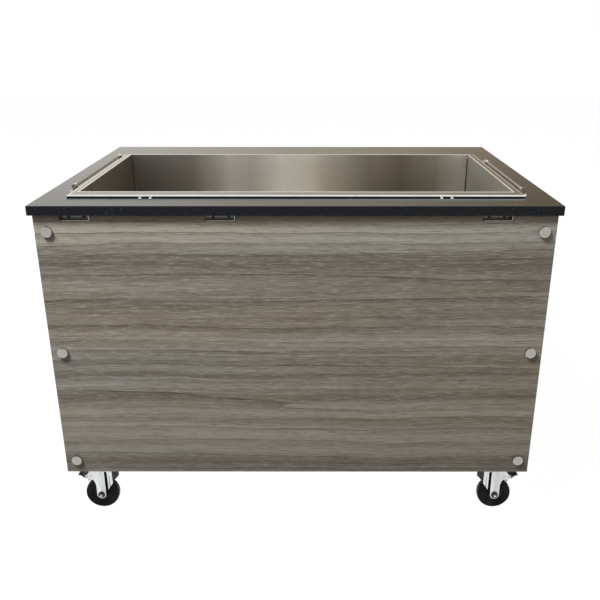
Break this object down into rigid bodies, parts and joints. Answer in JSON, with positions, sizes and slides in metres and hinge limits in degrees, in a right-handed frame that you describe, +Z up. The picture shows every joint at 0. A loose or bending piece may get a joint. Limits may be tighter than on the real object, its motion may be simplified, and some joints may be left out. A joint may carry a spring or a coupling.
{
  "type": "bain marie counter",
  "caption": "Mobile hot food counter: granite top, deep rectangular water well with steel rim, wood-grain panels held by round caps, rear doors and controls, braked swivel casters.",
  "frame": {"origin": "on the floor, below the centre of the worktop", "axes": "+Z up, +X to the right as a guest sees the front panel, +Y towards the operator's side"},
  "size_m": [1.2, 0.85, 0.863],
  "materials": {
    "granite": "polished",
    "stainless": "satin",
    "bright_steel": "satin",
    "laminate": "satin",
    "zinc": "satin",
    "black_rubber": "matte",
    "wheel_black": "satin",
    "black_plastic": "satin",
    "lamp_red": "gloss",
    "insulation": "matte",
    "galvanised": "satin",
    "brass": "satin",
    "black_oxide": "satin",
    "lever_red": "satin"
  },
  "bodies": {
    "counter": {"worktop": "granite", "well_tank": "stainless", "well_rim": "bright_steel", "rim_gasket": "black_rubber", "rim_screws": "bright_steel", "rod_blocks": "bright_steel", "left_rim_rod": "bright_steel", "right_rim_rod": "bright_steel", "tank_insulation": "insulation", "well_casing": "galvanised", "heating_element": "bright_steel", "thermostat_probe": "bright_steel", "drain_flange": "bright_steel", "drain_valve": "brass", "frame_posts": "stainless", "upper_rails": "stainless", "base_rails": "stainless", "caster_pads": "stainless", "cabinet_floor": "stainless", "front_panel": "laminate", "left_side_panel": "laminate", "right_side_panel": "laminate", "panel_caps": "bright_steel", "cap_nuts": "zinc", "notch_brackets": "bright_steel", "bracket_screws": "black_oxide", "control_fascia": "stainless", "control_box": "galvanised", "thermostat": "black_plastic", "rocker_frame": "black_plastic", "pilot_lamp": "lamp_red", "cord_gland": "black_plastic", "post_hinges": "bright_steel", "caster_plates": "zinc", "plate_bolts": "zinc"},
    "left_door": {"left_door": "stainless", "left_door_handle": "bright_steel", "left_door_hinges": "bright_steel"},
    "right_door": {"right_door": "stainless", "right_door_handle": "bright_steel", "right_door_hinges": "bright_steel"},
    "valve_lever": {"valve_lever": "lever_red"},
    "thermostat_knob": {"thermostat_knob": "black_plastic"},
    "power_rocker": {"power_rocker": "black_plastic"},
    "front_left_swivel": {"front_left_fork": "zinc", "front_left_axle": "zinc"},
    "front_left_wheel": {"front_left_wheel": "wheel_black"},
    "front_left_pedal": {"front_left_brake_pedal": "zinc"},
    "front_right_swivel": {"front_right_fork": "zinc", "front_right_axle": "zinc"},
    "front_right_wheel": {"front_right_wheel": "wheel_black"},
    "front_right_pedal": {"front_right_brake_pedal": "zinc"},
    "rear_left_swivel": {"rear_left_fork": "zinc", "rear_left_axle": "zinc"},
    "rear_left_wheel": {"rear_left_wheel": "wheel_black"},
    "rear_left_pedal": {"rear_left_brake_pedal": "zinc"},
    "rear_right_swivel": {"rear_right_fork": "zinc", "rear_right_axle": "zinc"},
    "rear_right_wheel": {"rear_right_wheel": "wheel_black"},
    "rear_right_pedal": {"rear_right_brake_pedal": "zinc"}
  },
  "joints": [
    {"name": "left_door_hinge", "type": "hinge", "parent": "counter", "child": "left_door", "pos_m": [-0.541, 0.389, 0.3996], "axis": [0, 0, 1], "range_deg": [0, 110]},
    {"name": "right_door_hinge", "type": "hinge", "parent": "counter", "child": "right_door", "pos_m": [0.541, 0.389, 0.3996], "axis": [0, 0, -1], "range_deg": [0, 110]},
    {"name": "valve_turn", "type": "hinge", "parent": "counter", "child": "valve_lever", "pos_m": [0.38, 0.142, 0.6043], "axis": [0, -1, 0], "range_deg": [0, 90]},
    {"name": "thermostat_turn", "type": "hinge", "parent": "counter", "child": "thermostat_knob", "pos_m": [-0.12, 0.385, 0.724], "axis": [0, -1, 0], "range_deg": [0, 270]},
    {"name": "power_rock", "type": "hinge", "parent": "counter", "child": "power_rocker", "pos_m": [0, 0.385, 0.724], "axis": [-1, 0, 0], "range_deg": [0, 14]},
    {"name": "front_left_swivel_turn", "type": "hinge", "parent": "counter", "child": "front_left_swivel", "pos_m": [-0.501, -0.345, 0.142], "axis": [0, 0, 1], "continuous": true},
    {"name": "front_left_wheel_roll", "type": "hinge", "parent": "front_left_swivel", "child": "front_left_wheel", "pos_m": [-0.5285, -0.345, 0.0445], "axis": [0, 1, 0], "continuous": true},
    {"name": "front_left_brake", "type": "hinge", "parent": "front_left_swivel", "child": "front_left_pedal", "pos_m": [-0.553, -0.345, 0.101], "axis": [0, -1, 0], "range_deg": [0, 13]},
    {"name": "front_right_swivel_turn", "type": "hinge", "parent": "counter", "child": "front_right_swivel", "pos_m": [0.501, -0.345, 0.142], "axis": [0, 0, 1], "continuous": true},
    {"name": "front_right_wheel_roll", "type": "hinge", "parent": "front_right_swivel", "child": "front_right_wheel", "pos_m": [0.5285, -0.345, 0.0445], "axis": [0, 1, 0], "continuous": true},
    {"name": "front_right_brake", "type": "hinge", "parent": "front_right_swivel", "child": "front_right_pedal", "pos_m": [0.553, -0.345, 0.101], "axis": [0, 1, 0], "range_deg": [0, 13]},
    {"name": "rear_left_swivel_turn", "type": "hinge", "parent": "counter", "child": "rear_left_swivel", "pos_m": [-0.501, 0.333, 0.142], "axis": [0, 0, 1], "continuous": true},
    {"name": "rear_left_wheel_roll", "type": "hinge", "parent": "rear_left_swivel", "child": "rear_left_wheel", "pos_m": [-0.5285, 0.333, 0.0445], "axis": [0, 1, 0], "continuous": true},
    {"name": "rear_left_brake", "type": "hinge", "parent": "rear_left_swivel", "child": "rear_left_pedal", "pos_m": [-0.553, 0.333, 0.101], "axis": [0, -1, 0], "range_deg": [0, 13]},
    {"name": "rear_right_swivel_turn", "type": "hinge", "parent": "counter", "child": "rear_right_swivel", "pos_m": [0.501, 0.333, 0.142], "axis": [0, 0, 1], "continuous": true},
    {"name": "rear_right_wheel_roll", "type": "hinge", "parent": "rear_right_swivel", "child": "rear_right_wheel", "pos_m": [0.5285, 0.333, 0.0445], "axis": [0, 1, 0], "continuous": true},
    {"name": "rear_right_brake", "type": "hinge", "parent": "rear_right_swivel", "child": "rear_right_pedal", "pos_m": [0.553, 0.333, 0.101], "axis": [0, 1, 0], "range_deg": [0, 13]}
  ]
}
